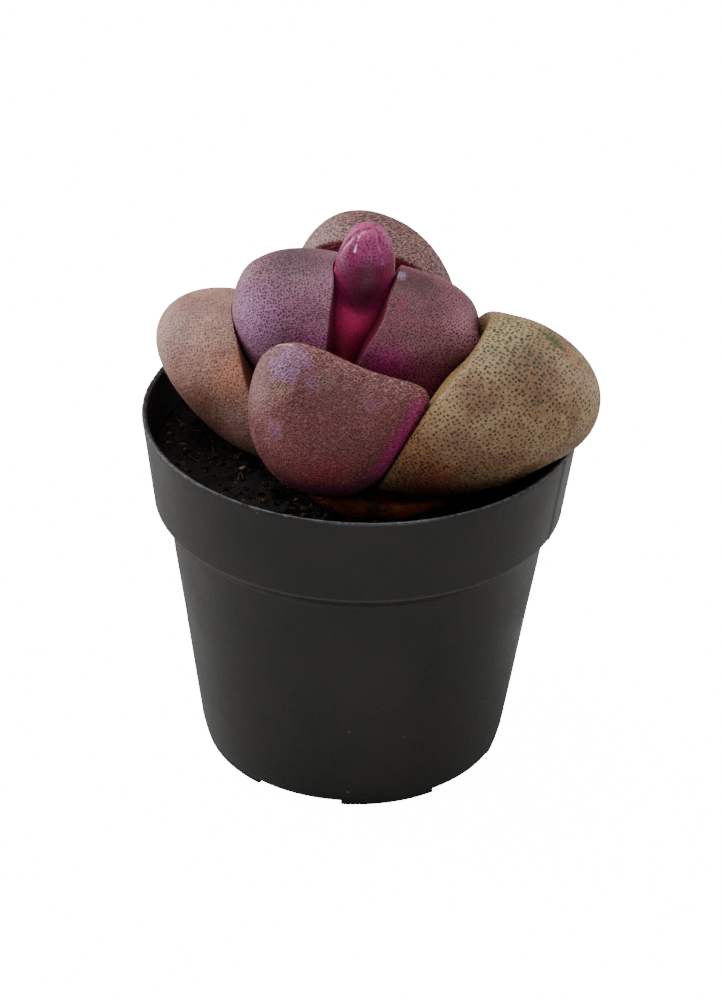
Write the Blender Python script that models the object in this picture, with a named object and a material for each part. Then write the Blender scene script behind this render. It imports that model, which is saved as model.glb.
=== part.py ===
"""Potted split rock: six fleshy leaves in three crossed pairs and a flower bud, on a short
crown in the soil of a small round nursery pot.

Origin: centre of the pot's underside, on the floor plane. +Z is up, +X is the picture's right,
and the photographed side faces -Y. Lengths below are in millimetres, angles in degrees.
"""

import math

import bmesh
import bpy
import numpy as np
from mathutils import Vector
from mathutils.bvhtree import BVHTree

MM = 0.001
GAP = 0.35
PRESS_GAP = 0.5
PRESS_ROUNDS = 12

# Pot
RIM_RADIUS = 45.0
POT_HEIGHT = 77.5
COLLAR_DROP = 19.9
COLLAR_LOW_RADIUS = 42.5
BODY_TOP_RADIUS = 39.4
BODY_TOP_DROP = 23.0
BASE_RADIUS = 31.9
WALL = 1.1
FLOOR_THICKNESS = 1.6
FOOT_HEIGHT = 1.2
FOOT_OUTER_RADIUS = 31.5
FOOT_INNER_RADIUS = 28.6
CENTRE_PAD_RADIUS = 11.0
FOOT_COUNT = 5
FOOT_GAP_ANGLE = 35.0
FOOT_GAP_START = -131.0
DRAIN_COUNT = 6
DRAIN_RADIUS = 3.0
DRAIN_CIRCLE = 20.5
POT_SEGMENTS = 72

# Soil
SOIL_TOP = 68.2
SOIL_LUMP = 0.75
LEAF_FLOOR = 69.3
LEAF_SETTLE = 2.2
RIM_SETTLE = 1.0

# Crown
CROWN_CENTRE = (3.0, -6.5)
CROWN_REACH = (20.5, 20.0, 17.0, 15.5, 15.5, 18.0, 20.6, 21.0)
CROWN_TOP = 86.0
CROWN_EDGE = 70.6
CROWN_FOOT = 65.2
ROOT_TOP_RADIUS = 7.0
ROOT_TIP = 34.0
CROWN_SEGMENTS = 52
CROWN_RINGS = 14

# Leaves: place of the middle of the flat face, way it leans, outline radii from the leaf's side
# round over its tip, depth of the rounded back, and how far the deepest point is shifted. A sweep
# swings the rim forward: how far, and at which angle round the outline.
LEAF_SEGMENTS = 40
BACK_RINGS = 11
FACE_RINGS = (0.995, 0.972, 0.91, 0.79, 0.65, 0.51, 0.37, 0.23, 0.1)
LIP = 1.2
LIP_POWER = 4.0
INNER_LEAF_LEFT = {
    "centre": (-6.3, 3.0, 95.3),
    "azimuth": 174.4,
    "tilt": -1.6,
    "roll": 0.2,
    "radii": (15.7, 15.1, 14.8, 15.1, 15.6, 16.5, 17.1, 16.5),
    "depth": 20.6,
    "shift": (-0.6, 3.3),
    "fullness": 2.2,
}
INNER_LEAF_RIGHT = {
    "centre": (3.0, 1.6, 97.0),
    "azimuth": -9.2,
    "tilt": 20.2,
    "roll": -4.1,
    "radii": (14.7, 14.0, 12.8, 12.9, 14.1, 15.4, 16.1, 15.5),
    "depth": 19.6,
    "shift": (-0.9, 3.9),
    "fullness": 2.2,
}
FRONT_LEAF = {
    "centre": (-5.4, -17.5, 86.5),
    "azimuth": -106.2,
    "tilt": 18.7,
    "roll": -24.8,
    "radii": (16.1, 17.3, 20.0, 16.2, 19.8, 16.7, 17.7, 17.3),
    "depth": 17.2,
    "shift": (1.5, -0.2),
    "fullness": 1.8,
}
REAR_LEAF = {
    "centre": (1.4, 17.4, 89.7),
    "azimuth": 72.7,
    "tilt": -2.1,
    "roll": -12.0,
    "radii": (19.7, 18.6, 16.9, 19.3, 18.8, 18.9, 19.4, 19.6),
    "depth": 16.3,
    "shift": (-5.7, 6.3),
    "fullness": 2.2,
}
OUTER_LEAF_LEFT = {
    "centre": (-19.4, 5.3, 82.2),
    "azimuth": 173.8,
    "tilt": 22.2,
    "roll": 0.4,
    "radii": (17.7, 17.8, 17.8, 17.8, 18.1, 21.6, 21.4, 18.2),
    "depth": 20.8,
    "shift": (3.1, 10.0),
    "fullness": 1.9,
}
OUTER_LEAF_RIGHT = {
    "centre": (15.3, -8.7, 84.6),
    "azimuth": -17.9,
    "tilt": 27.0,
    "roll": 3.3,
    "radii": (23.0, 23.1, 23.0, 22.3, 22.4, 22.8, 22.9, 23.0),
    "depth": 29.2,
    "shift": (-5.0, 11.5),
    "fullness": 1.9,
    "sweep": (3.8, 166.0),
}

# Flower bud: height and half width across the picture, from its base to its tip
BUD_PROFILE = (
    (86.1, 2.3),
    (88.9, 2.85),
    (92.0, 3.55),
    (95.0, 4.3),
    (97.8, 5.0),
    (101.2, 5.6),
    (104.7, 6.05),
    (108.1, 6.2),
    (111.0, 5.95),
    (113.7, 5.4),
    (115.6, 4.8),
    (117.0, 4.1),
    (118.3, 3.1),
    (119.2, 1.8),
)
BUD_TOP_X = 0.45
BUD_LEAN = 4.9
BUD_Y = 1.0
BUD_SEGMENTS = 30
SEPALS = 5


def clear_scene():
    """Start from nothing."""
    for thing in list(bpy.data.objects):
        bpy.data.objects.remove(thing, do_unlink=True)


def material(name, colour, roughness):
    """Principled material of one plain colour."""
    made = bpy.data.materials.new(name)
    made.use_nodes = True
    shader = made.node_tree.nodes["Principled BSDF"]
    shader.inputs["Base Color"].default_value = (*colour, 1.0)
    shader.inputs["Roughness"].default_value = roughness
    return made


def spline_round(values, angle):
    """Smooth closed curve through values given at equal steps round the turn."""
    count = len(values)
    place = (angle / (2 * math.pi)) % 1.0 * count
    index = int(place)
    part = place - index
    before, here, after, beyond = (values[(index + k) % count] for k in (-1, 0, 1, 2))
    bend = 2 * before - 5 * here + 4 * after - beyond
    twist = -before + 3 * here - 3 * after + beyond
    return 0.5 * (2 * here + (after - before) * part + bend * part**2 + twist * part**3)


def wrapped_ball(rings, first, last):
    """Closed mesh made by stretching a ball, ring by ring, from one end point to the other."""
    size, rows = len(rings[0]), len(rings) + 1
    ball = bmesh.new()
    bmesh.ops.create_uvsphere(ball, u_segments=size, v_segments=rows, radius=1.0)
    points = []
    for vertex in ball.verts:
        x, y, z = vertex.co
        row = round((math.asin(max(-1.0, min(1.0, z))) / math.pi + 0.5) * rows)
        step = round(math.atan2(y, x) / (2 * math.pi) * size) % size
        if row in (0, rows):
            points.append(last if row else first)
        else:
            points.append(rings[row - 1][step])
    faces = [tuple(corner.index for corner in face.verts) for face in ball.faces]
    ball.free()
    return np.array([tuple(point) for point in points], float), faces


def turned(profile, segments):
    """Closed solid turned from a profile that starts and ends on the pot's axis."""
    shape = bmesh.new()
    line = [shape.verts.new((radius, 0.0, height)) for radius, height in profile]
    edges = [shape.edges.new(pair) for pair in zip(line, line[1:])]
    bmesh.ops.spin(
        shape,
        geom=line + edges,
        axis=(0, 0, 1),
        cent=(0, 0, 0),
        angle=2 * math.pi,
        steps=segments,
        use_merge=True,
    )
    bmesh.ops.remove_doubles(shape, verts=shape.verts, dist=1e-4)
    bmesh.ops.recalc_face_normals(shape, faces=shape.faces)
    shape.verts.index_update()
    points = np.array([tuple(vertex.co) for vertex in shape.verts])
    faces = [tuple(corner.index for corner in face.verts) for face in shape.faces]
    shape.free()
    return points, faces


def tree_of(points, faces):
    """Search tree of a mesh, in millimetres."""
    return BVHTree.FromPolygons([Vector(point) for point in points], faces)


def make_object(name, points, faces, made):
    """Mesh object in metres with outward faces and smooth shading."""
    mesh = bpy.data.meshes.new(name)
    mesh.from_pydata([tuple(point) for point in np.asarray(points) * MM], [], faces)
    shape = bmesh.new()
    shape.from_mesh(mesh)
    bmesh.ops.recalc_face_normals(shape, faces=shape.faces)
    shape.to_mesh(mesh)
    shape.free()
    mesh.polygons.foreach_set("use_smooth", [True] * len(mesh.polygons))
    mesh.materials.append(made)
    thing = bpy.data.objects.new(name, mesh)
    bpy.context.scene.collection.objects.link(thing)
    return thing


def circle(radius, height, count, turn=0.0):
    """Ring of points round the pot's axis."""
    angles = np.arange(count) * 2 * math.pi / count + turn
    return np.stack([radius * np.cos(angles), radius * np.sin(angles), np.full(count, height)], 1)


def pot_outer_profile():
    """Outside of the pot from the rim down to its underside."""
    collar_low = POT_HEIGHT - COLLAR_DROP
    return [
        (RIM_RADIUS - 0.55, POT_HEIGHT),
        (RIM_RADIUS - 0.12, POT_HEIGHT - 0.2),
        (RIM_RADIUS, POT_HEIGHT - 0.7),
        (RIM_RADIUS - 0.15, POT_HEIGHT - 1.5),
        (COLLAR_LOW_RADIUS + 0.05, collar_low + 0.7),
        (COLLAR_LOW_RADIUS + 0.1, collar_low + 0.25),
        (COLLAR_LOW_RADIUS - 0.25, collar_low),
        (BODY_TOP_RADIUS + 0.2, POT_HEIGHT - BODY_TOP_DROP + 0.3),
        (BODY_TOP_RADIUS, POT_HEIGHT - BODY_TOP_DROP - 0.5),
        (BASE_RADIUS + 0.1, FOOT_HEIGHT + 1.2),
        (BASE_RADIUS - 0.1, FOOT_HEIGHT + 0.4),
        (FOOT_OUTER_RADIUS, FOOT_HEIGHT),
        (FOOT_OUTER_RADIUS - 0.1, 0.3),
        (FOOT_OUTER_RADIUS - 0.4, 0.0),
        (FOOT_INNER_RADIUS + 0.4, 0.0),
        (FOOT_INNER_RADIUS, FOOT_HEIGHT),
        (CENTRE_PAD_RADIUS + 0.6, FOOT_HEIGHT),
        (CENTRE_PAD_RADIUS, 0.0),
    ]


def pot_inner_profile():
    """Inside of the pot from its floor up to the rim."""
    floor = FOOT_HEIGHT + FLOOR_THICKNESS
    return [
        (BASE_RADIUS - WALL - 1.4, floor),
        (BASE_RADIUS - WALL - 0.3, floor + 1.0),
        (BODY_TOP_RADIUS - WALL, POT_HEIGHT - BODY_TOP_DROP - 0.2),
        (COLLAR_LOW_RADIUS - WALL - 0.1, POT_HEIGHT - COLLAR_DROP + 0.8),
        (RIM_RADIUS - WALL - 0.05, POT_HEIGHT - 0.35),
        (RIM_RADIUS - WALL + 0.2, POT_HEIGHT),
    ]


def foot_gap_cutter(start):
    """Curved block that opens the foot ring between two feet."""
    steps = 8
    angles = [math.radians(start + FOOT_GAP_ANGLE * k / steps) for k in range(steps + 1)]
    near, far = FOOT_INNER_RADIUS - 1.5, BASE_RADIUS + 3.0
    low, high = -1.0, FOOT_HEIGHT
    sections = []
    for angle in angles:
        corners = ((near, low), (far, low), (far, high), (near, high))
        sections.append([(r * math.cos(angle), r * math.sin(angle), z) for r, z in corners])
    points = [corner for section in sections for corner in section]
    faces = [(0, 1, 2, 3), tuple(len(points) - k for k in (1, 2, 3, 4))]
    for k in range(steps):
        base = 4 * k
        for side in range(4):
            other = (side + 1) % 4
            faces.append((base + side, base + 4 + side, base + 4 + other, base + other))
    return points, faces


def drain_cutter(angle):
    """Round bar through the pot's floor."""
    x, y = DRAIN_CIRCLE * math.cos(angle), DRAIN_CIRCLE * math.sin(angle)
    low = circle(DRAIN_RADIUS, -1.0, 16) + (x, y, 0)
    high = circle(DRAIN_RADIUS, 6.0, 16) + (x, y, 0)
    return wrapped_ball([low, high], (x, y, -1.0), (x, y, 6.0))


def add_pot_cutter(made):
    """All the pot's openings as one hidden helper."""
    pieces = []
    for k in range(FOOT_COUNT):
        pieces.append(foot_gap_cutter(FOOT_GAP_START + 360.0 * k / FOOT_COUNT))
    for k in range(DRAIN_COUNT):
        pieces.append(drain_cutter(2 * math.pi * (k + 0.25) / DRAIN_COUNT))
    points, faces = [], []
    for piece_points, piece_faces in pieces:
        base = len(points)
        points.extend(tuple(point) for point in piece_points)
        faces.extend(tuple(base + corner for corner in face) for face in piece_faces)
    cutter = make_object("pot_cutter", points, faces, made)
    cutter.hide_render = True
    cutter.display_type = "WIRE"
    return cutter


def add_pot(made):
    """Thin-walled round pot with a collar, feet and drainage holes."""
    floor = FOOT_HEIGHT + FLOOR_THICKNESS
    # The profile runs from the underside's middle up the outside, then down to the floor.
    profile = [(0.0, 0.0), *pot_outer_profile()[::-1], *pot_inner_profile()[::-1], (0.0, floor)]
    points, faces = turned(profile, POT_SEGMENTS)
    pot = make_object("pot", points, faces, made)
    cut = pot.modifiers.new("openings", "BOOLEAN")
    cut.operation = "DIFFERENCE"
    cut.solver = "EXACT"
    cut.object = add_pot_cutter(made)
    return points, faces


def inner_radius(height):
    """Radius of the pot's inside wall at a height."""
    profile = pot_inner_profile()
    for (low_r, low_z), (high_r, high_z) in zip(profile, profile[1:]):
        if height <= high_z:
            return low_r + (high_r - low_r) * max(height - low_z, 0.0) / (high_z - low_z)
    return profile[-1][0]


def crown_reach(angle):
    """Distance from the crown's middle to its edge."""
    return spline_round(CROWN_REACH, angle)


def crown_outline(angles, shift, height):
    """Level ring that follows the crown's edge at a set distance."""
    cx, cy = CROWN_CENTRE
    reaches = [crown_reach(angle) + shift for angle in angles]
    return [
        (cx + reach * math.cos(angle), cy + reach * math.sin(angle), height)
        for reach, angle in zip(reaches, angles)
    ]


def soil_height(x, y):
    """Uneven top of the soil."""
    waves = math.sin(0.33 * x + 1.3) * math.cos(0.29 * y - 0.4)
    waves += 0.5 * math.sin(0.71 * x - 0.57 * y + 2.1)
    waves += 0.35 * math.cos(1.13 * x + 0.87 * y)
    return SOIL_TOP + SOIL_LUMP * waves / 1.85


def soil_ring(share, angles):
    """Ring of the soil's top between the crown's hole and the pot's wall."""
    cx, cy = CROWN_CENTRE
    wall = inner_radius(SOIL_TOP) - GAP
    ring = []
    for angle in angles:
        dx, dy = math.cos(angle), math.sin(angle)
        along = cx * dx + cy * dy
        reach = -along + math.sqrt(along * along + wall * wall - cx * cx - cy * cy)
        inner = crown_reach(angle) + GAP
        distance = inner + (reach - inner) * share
        x, y = cx + dx * distance, cy + dy * distance
        ring.append((x, y, soil_height(x, y)))
    return ring


def wall_ring(around, radius, height):
    """Level ring at set directions from the pot's axis."""
    return np.stack([radius * np.cos(around), radius * np.sin(around), np.full(len(around), height)], 1)


def add_soil(made):
    """Soil filling the pot, with a hole for the crown and its root."""
    cx, cy = CROWN_CENTRE
    angles = np.arange(CROWN_SEGMENTS) * 2 * math.pi / CROWN_SEGMENTS
    middle = np.array([cx, cy, 0.0])
    rings = []
    rings.append(circle(ROOT_TOP_RADIUS - 4.6, ROOT_TIP - 3.0, CROWN_SEGMENTS) + middle)
    rings.append(circle(ROOT_TOP_RADIUS + GAP, CROWN_FOOT - 2.0, CROWN_SEGMENTS) + middle)
    rings.append(crown_outline(angles, GAP - 2.3, CROWN_FOOT - GAP))
    rings.append(crown_outline(angles, GAP - 0.3, CROWN_EDGE - 3.5))
    for share in (0.0, 0.08, 0.2, 0.34, 0.5, 0.66, 0.82, 0.94):
        rings.append(soil_ring(share, angles))
    edge = np.array(soil_ring(1.0, angles))
    rings.append(edge - (0, 0, 0.8))
    around = np.arctan2(edge[:, 1], edge[:, 0])
    floor = FOOT_HEIGHT + FLOOR_THICKNESS + GAP
    for height in (POT_HEIGHT - COLLAR_DROP + 0.8, POT_HEIGHT - BODY_TOP_DROP - 0.2, floor + 1.2):
        rings.append(wall_ring(around, inner_radius(height) - GAP, height))
    rings.append(wall_ring(around, inner_radius(floor) - GAP - 1.0, floor))
    points, faces = wrapped_ball(rings, (cx, cy, ROOT_TIP - 3.0), (0, 0, floor))
    make_object("soil", points, faces, made)
    return points, faces


def leaf_axes(leaf):
    """Side, tip and face directions of a leaf."""
    azimuth, tilt, roll = (math.radians(leaf[key]) for key in ("azimuth", "tilt", "roll"))
    out = np.array([math.cos(azimuth), math.sin(azimuth), 0.0])
    up = np.array([0.0, 0.0, 1.0])
    face = -out * math.cos(tilt) + up * math.sin(tilt)
    tip = out * math.sin(tilt) + up * math.cos(tilt)
    side = np.cross(tip, face)
    turned_side = math.cos(roll) * side + math.sin(roll) * tip
    turned_tip = -math.sin(roll) * side + math.cos(roll) * tip
    return turned_side, turned_tip, face


def leaf_mesh(leaf):
    """Flat-faced leaf with a rounded margin and a full rounded back."""
    side, tip, face = leaf_axes(leaf)
    centre = np.array(leaf["centre"])
    full = leaf["fullness"]
    mean = sum(leaf["radii"]) / len(leaf["radii"])
    sweep, sweep_way = leaf.get("sweep", (0.0, 0.0))
    slices = []
    for row in range(1, BACK_RINGS + 1):
        rise = math.pi / 2 * (1 - row / BACK_RINGS)
        high = math.sin(rise)
        slices.append((math.cos(rise) ** (2 / full), -leaf["depth"] * high ** (2 / full), high))
    for spread in FACE_RINGS:
        high = math.sqrt(1 - spread**LIP_POWER)
        slices.append((spread, LIP * high ** (2 / LIP_POWER), 0.0))
    rings = []
    for spread, lift, behind in slices:
        ring = []
        for step in range(LEAF_SEGMENTS):
            angle = 2 * math.pi * step / LEAF_SEGMENTS
            outline = spline_round(leaf["radii"], angle)
            radius = mean + (outline - mean) * (1 - 0.8 * behind**1.5)
            u = math.cos(angle) * radius * spread + leaf["shift"][0] * behind
            v = math.sin(angle) * radius * spread + leaf["shift"][1] * behind
            nearness = max(math.cos(angle - math.radians(sweep_way)), 0.0)
            forward = sweep * nearness**3 * spread**2 * (1 - behind)
            ring.append(centre + side * u + tip * v + face * (lift + forward))
        rings.append(ring)
    shift = leaf["shift"][0] * side + leaf["shift"][1] * tip
    return wrapped_ball(rings, centre + shift - face * leaf["depth"], centre + face * LIP)


def settle(points):
    """Flatten what would reach into the soil, or through the pot's rim, onto their tops."""
    height = points[:, 2]
    out = np.hypot(points[:, 0], points[:, 1])
    rim = POT_HEIGHT + GAP - 1.3 * np.maximum(RIM_RADIUS - 2.4 - out, 0.0)
    for bottom, reach in ((np.full(len(points), LEAF_FLOOR), LEAF_SETTLE), (rim, RIM_SETTLE)):
        level = bottom + reach
        squashed = bottom + reach * np.exp((np.minimum(height, level) - level) / reach)
        height = np.where(height < level, squashed, height)
    points[:, 2] = height


def is_inside(tree, point):
    """Whether a point lies within a closed mesh, by the faces crossed on the way out."""
    votes = 0
    for way in (Vector((0.31, 0.17, 0.93)), Vector((-0.83, 0.41, 0.37)), Vector((0.24, -0.91, 0.33))):
        way.normalize()
        start = point.copy()
        crossed = 0
        while crossed < 40:
            place = tree.ray_cast(start, way)[0]
            if place is None:
                break
            crossed += 1
            start = place + way * 1e-4
        votes += crossed % 2
    return votes > 1


def press(points, trees):
    """Move the points that lie inside or too near a neighbour out to its surface."""
    moved = points.copy()
    for index in range(len(moved)):
        for tree in trees:
            point = Vector(moved[index])
            place, normal, _, distance = tree.find_nearest(point)
            if distance > 9.0:
                continue
            inside = is_inside(tree, point)
            if not inside and distance >= PRESS_GAP:
                continue
            offset = place - point if inside else point - place
            way = normal if distance < 1e-4 else offset.normalized()
            moved[index] = np.array(place + way * PRESS_GAP)
    return moved


def give_way(points, faces, neighbours):
    """Push back the faces that a neighbour's points still reach."""
    moves = np.zeros_like(points)
    tree = tree_of(points, faces)
    low, high = points.min(0) - 1.0, points.max(0) + 1.0
    for other in neighbours:
        near = other[np.all((other > low) & (other < high), axis=1)]
        for spot in near:
            point = Vector(spot)
            place, normal, index, distance = tree.find_nearest(point)
            if distance > 1.5:
                continue
            inside = is_inside(tree, point)
            if not inside and distance >= GAP:
                continue
            need = GAP + distance if inside else GAP - distance
            way = point - place if inside else place - point
            way = -normal if distance < 1e-4 else way.normalized()
            for corner in faces[index]:
                if need > np.linalg.norm(moves[corner]):
                    moves[corner] = np.array(way * need)
    return points + moves


def bud_mesh():
    """Upright bud with folded sepal tips."""
    low, high = BUD_PROFILE[0][0], BUD_PROFILE[-1][0]
    rings = []
    for height, wide in BUD_PROFILE:
        share = (height - low) / (high - low)
        x = BUD_TOP_X - BUD_LEAN * (1 - share) ** 1.7
        deep = wide * (1.13 - 0.2 * share)
        fold = 0.07 * max(share - 0.55, 0.0) / 0.45
        ring = []
        for step in range(BUD_SEGMENTS):
            angle = 2 * math.pi * step / BUD_SEGMENTS
            swell = 1.0 + fold * abs(math.cos(SEPALS * angle / 2 + 0.4)) - fold * 0.6
            across, along = wide * swell * math.cos(angle), deep * swell * math.sin(angle)
            ring.append((x + across, BUD_Y + along, height))
        rings.append(ring)
    foot = (BUD_TOP_X - BUD_LEAN, BUD_Y, low - 0.8)
    return wrapped_ball(rings, foot, (BUD_TOP_X, BUD_Y, high + 0.35))


def crown_height(x, y, share, trees):
    """Top of the crown under the leaves that rest on it."""
    mound = CROWN_EDGE + (CROWN_TOP - CROWN_EDGE) * (1 - share**2.2)
    lowest = mound
    offsets = [(0.0, 0.0)]
    for reach in (0.9, 1.9):
        turns = [k * math.pi / 4 for k in range(8)]
        offsets += [(reach * math.cos(turn), reach * math.sin(turn)) for turn in turns]
    for dx, dy in offsets:
        for tree in trees:
            hit = tree.ray_cast(Vector((x + dx, y + dy, 50.0)), Vector((0, 0, 1)))
            if hit[0] is not None:
                lowest = min(lowest, hit[0].z - GAP - 0.05)
    return lowest


def add_crown(made, trees):
    """Fused base of the plant, with hollows for the leaves and a short thick root."""
    cx, cy = CROWN_CENTRE
    angles = np.arange(CROWN_SEGMENTS) * 2 * math.pi / CROWN_SEGMENTS
    rings = []
    for row in range(1, CROWN_RINGS + 1):
        share = row / CROWN_RINGS
        ring = []
        for angle in angles:
            reach = crown_reach(angle) * share * 0.985
            x, y = cx + reach * math.cos(angle), cy + reach * math.sin(angle)
            ring.append((x, y, crown_height(x, y, share, trees)))
        rings.append(ring)
    for shift, height in ((0.0, CROWN_EDGE - 1.9), (-0.3, CROWN_EDGE - 3.4), (-2.3, CROWN_FOOT)):
        rings.append(crown_outline(angles, shift, height))
    middle = np.array([cx, cy, 0.0])
    for radius, height in ((ROOT_TOP_RADIUS, CROWN_FOOT - 2.0), (ROOT_TOP_RADIUS - 5.0, ROOT_TIP)):
        rings.append(circle(radius, height, CROWN_SEGMENTS) + middle)
    top = crown_height(cx, cy, 0.0, trees)
    points, faces = wrapped_ball(rings, (cx, cy, top), (cx, cy, ROOT_TIP - 1.5))
    make_object("crown", points, faces, made)


def add_plant(materials, pot_tree):
    """Bud, then leaf pairs from the youngest out, each pressed clear of what is in place."""
    placed = {"flower_bud": bud_mesh()}
    order = (
        ("inner_leaf_left", INNER_LEAF_LEFT),
        ("inner_leaf_right", INNER_LEAF_RIGHT),
        ("front_leaf", FRONT_LEAF),
        ("rear_leaf", REAR_LEAF),
        ("outer_leaf_left", OUTER_LEAF_LEFT),
        ("outer_leaf_right", OUTER_LEAF_RIGHT),
    )
    for name, leaf in order:
        points, faces = leaf_mesh(leaf)
        trees = [tree_of(*other) for other in placed.values()] + [pot_tree]
        settle(points)
        free = points.copy()
        for _ in range(PRESS_ROUNDS):
            points = press(points, trees)
            points = give_way(points, faces, [other for other, _ in placed.values()])
        placed[name] = (points, faces)
        far = np.linalg.norm(points - free, axis=1)
        print(name, "pressed by", round(far.max(), 2), "points", int((far > 0.01).sum()))
    for name, (points, faces) in placed.items():
        make_object(name, points, faces, materials[name])
    return [tree_of(*other) for other in placed.values()]


def main():
    """Build every node."""
    clear_scene()
    colours = {
        "inner_leaf_left": (0.23, 0.12, 0.16),
        "inner_leaf_right": (0.21, 0.10, 0.14),
        "front_leaf": (0.20, 0.08, 0.09),
        "rear_leaf": (0.25, 0.14, 0.15),
        "outer_leaf_left": (0.36, 0.22, 0.18),
        "outer_leaf_right": (0.33, 0.22, 0.14),
        "flower_bud": (0.28, 0.03, 0.11),
    }
    materials = {name: material(name, colour, 0.6) for name, colour in colours.items()}
    pot_points, pot_faces = add_pot(material("pot", (0.030, 0.030, 0.032), 0.5))
    add_soil(material("soil", (0.016, 0.011, 0.008), 0.95))
    trees = add_plant(materials, tree_of(pot_points, pot_faces))
    add_crown(material("crown", (0.20, 0.07, 0.03), 0.7), trees)


main()
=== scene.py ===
import math
import random

import bmesh
import bpy
from mathutils import Matrix, Vector, noise
from mathutils.bvhtree import BVHTree
from mathutils.kdtree import KDTree


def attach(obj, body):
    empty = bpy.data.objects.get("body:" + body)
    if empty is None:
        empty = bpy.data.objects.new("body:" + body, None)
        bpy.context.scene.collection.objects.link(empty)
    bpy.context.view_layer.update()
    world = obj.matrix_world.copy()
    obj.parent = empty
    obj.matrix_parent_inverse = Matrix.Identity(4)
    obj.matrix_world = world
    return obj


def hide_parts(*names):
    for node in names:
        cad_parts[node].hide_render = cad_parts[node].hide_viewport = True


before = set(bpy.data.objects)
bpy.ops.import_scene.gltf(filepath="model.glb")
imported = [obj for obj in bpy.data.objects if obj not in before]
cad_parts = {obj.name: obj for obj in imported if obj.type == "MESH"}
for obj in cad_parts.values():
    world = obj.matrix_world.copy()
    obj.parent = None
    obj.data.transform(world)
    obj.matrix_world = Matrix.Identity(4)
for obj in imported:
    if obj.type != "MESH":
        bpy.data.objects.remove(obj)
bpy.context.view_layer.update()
mm = 0.001


# Shader helpers

def tint(red, green, blue):
    # screen values from 0 to 255, as linear light
    def linear(value):
        share = value / 255
        return share / 12.92 if share <= 0.04045 else ((share + 0.055) / 1.055) ** 2.4
    return (linear(red), linear(green), linear(blue), 1.0)


def addNode(tree, kind, inputs=None, **settings):
    node = tree.nodes.new("ShaderNode" + kind)
    for key, value in settings.items():
        setattr(node, key, value)
    for key, value in (inputs or {}).items():
        if isinstance(value, bpy.types.NodeSocket):
            tree.links.new(value, node.inputs[key])
        else:
            node.inputs[key].default_value = value
    return node


def maths(tree, operation, first, second=0.5):
    return addNode(tree, "Math", {0: first, 1: second}, operation=operation).outputs[0]


def mixColour(tree, share, first, second, blend="MIX"):
    inputs = {0: share, 6: first, 7: second}
    return addNode(tree, "Mix", inputs, data_type="RGBA", blend_type=blend).outputs[2]


def step(tree, value, low, high, fromValue=0.0, toValue=1.0):
    inputs = {"Value": value, "From Min": low, "From Max": high, "To Min": fromValue, "To Max": toValue}
    return addNode(tree, "MapRange", inputs, interpolation_type="SMOOTHSTEP").outputs["Result"]


def noiseOf(tree, vector, scale, detail=3.0, roughness=0.55, distortion=0.0):
    inputs = {"Vector": vector, "Scale": scale, "Detail": detail}
    inputs.update({"Roughness": roughness, "Distortion": distortion})
    return addNode(tree, "TexNoise", inputs).outputs["Fac"]


def placeOf(tree):
    return addNode(tree, "TexCoord").outputs["Object"]


def newMaterial(name, roughness=0.5, specular=0.5):
    material = bpy.data.materials.new(name)
    material.use_nodes = True
    shader = material.node_tree.nodes["Principled BSDF"]
    shader.inputs["Roughness"].default_value = roughness
    shader.inputs["Specular IOR Level"].default_value = specular
    return material, material.node_tree, shader


def newGroup(name, inputs, outputs):
    group = bpy.data.node_groups.new(name, "ShaderNodeTree")
    for title, kind, value in inputs:
        socket = group.interface.new_socket(title, in_out="INPUT", socket_type="NodeSocket" + kind)
        if value is not None:
            socket.default_value = value
    for title, kind in outputs:
        group.interface.new_socket(title, in_out="OUTPUT", socket_type="NodeSocket" + kind)
    taken = group.nodes.new("NodeGroupInput").outputs
    given = group.nodes.new("NodeGroupOutput").inputs
    return group, taken, given


def placeGroup(tree, group, inputs):
    node = tree.nodes.new("ShaderNodeGroup")
    node.node_tree = group
    for key, value in inputs.items():
        if isinstance(value, bpy.types.NodeSocket):
            tree.links.new(value, node.inputs[key])
        else:
            node.inputs[key].default_value = value
    return node


# Effects that several materials share

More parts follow.
